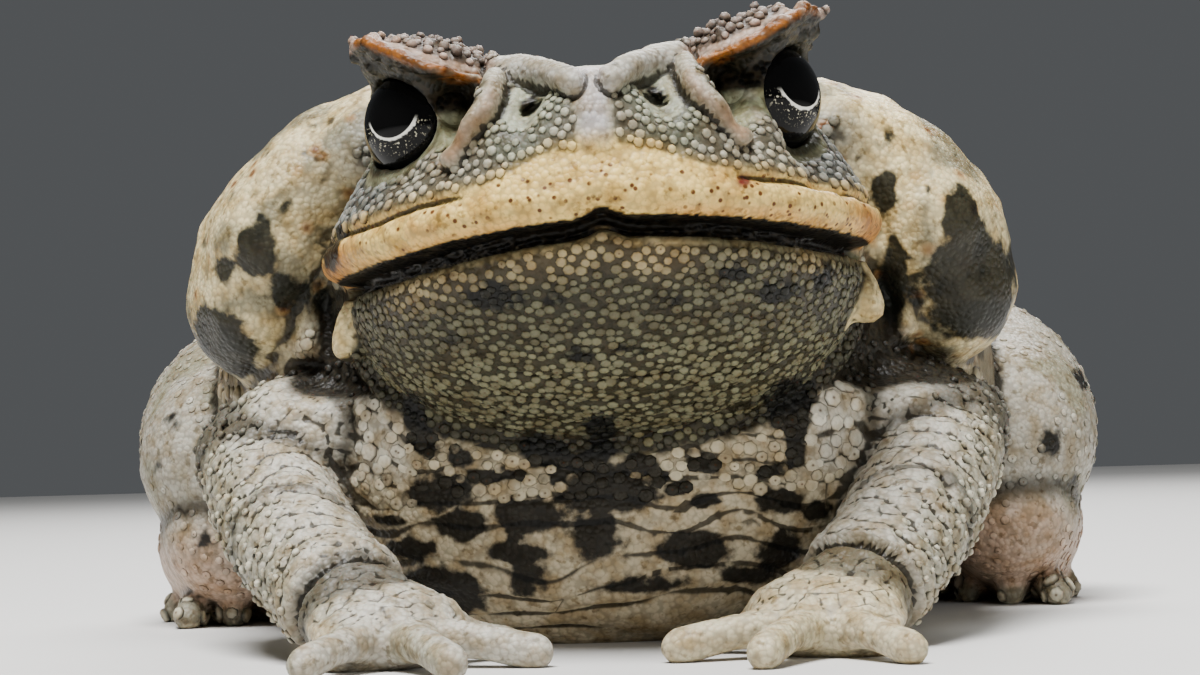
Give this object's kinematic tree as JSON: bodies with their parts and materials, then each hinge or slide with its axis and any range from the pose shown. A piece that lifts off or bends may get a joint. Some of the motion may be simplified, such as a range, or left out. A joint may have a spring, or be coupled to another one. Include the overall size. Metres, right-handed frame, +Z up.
{
  "type": "cane toad model",
  "caption": "Life-size still model of a cane toad that sits on its belly with its elbows out and its hands turned inwards.",
  "frame": {"origin": "middle of the length and width, on the level that the toad sits on", "axes": "+Z up, -Y forwards along the snout, +X to the toad's own left"},
  "size_m": [0.1296, 0.1544, 0.0699],
  "materials": {
    "head_skin": "moist warty skin, cream to olive grey with ochre lips",
    "throat_skin": "dark olive brown skin with fine beads",
    "body_skin": "cream and grey brown warty skin with black blotches",
    "gland_skin": "smooth pored gland skin, cream with dark patches",
    "limb_skin": "wrinkled pale grey brown skin with brown tipped beads",
    "eye": "wet glossy black eye with gold flecks"
  },
  "bodies": {
    "root": {"torso": "body_skin", "head": "head_skin", "lower_jaw": "throat_skin", "eye_left": "eye", "parotoid_left": "gland_skin", "upper_arm_left": "limb_skin", "forearm_left": "limb_skin", "hand_left": "limb_skin", "thigh_left": "limb_skin", "shin_left": "limb_skin", "foot_left": "limb_skin", "eye_right": "eye", "parotoid_right": "gland_skin", "upper_arm_right": "limb_skin", "forearm_right": "limb_skin", "hand_right": "limb_skin", "thigh_right": "limb_skin", "shin_right": "limb_skin", "foot_right": "limb_skin"}
  },
  "joints": []
}
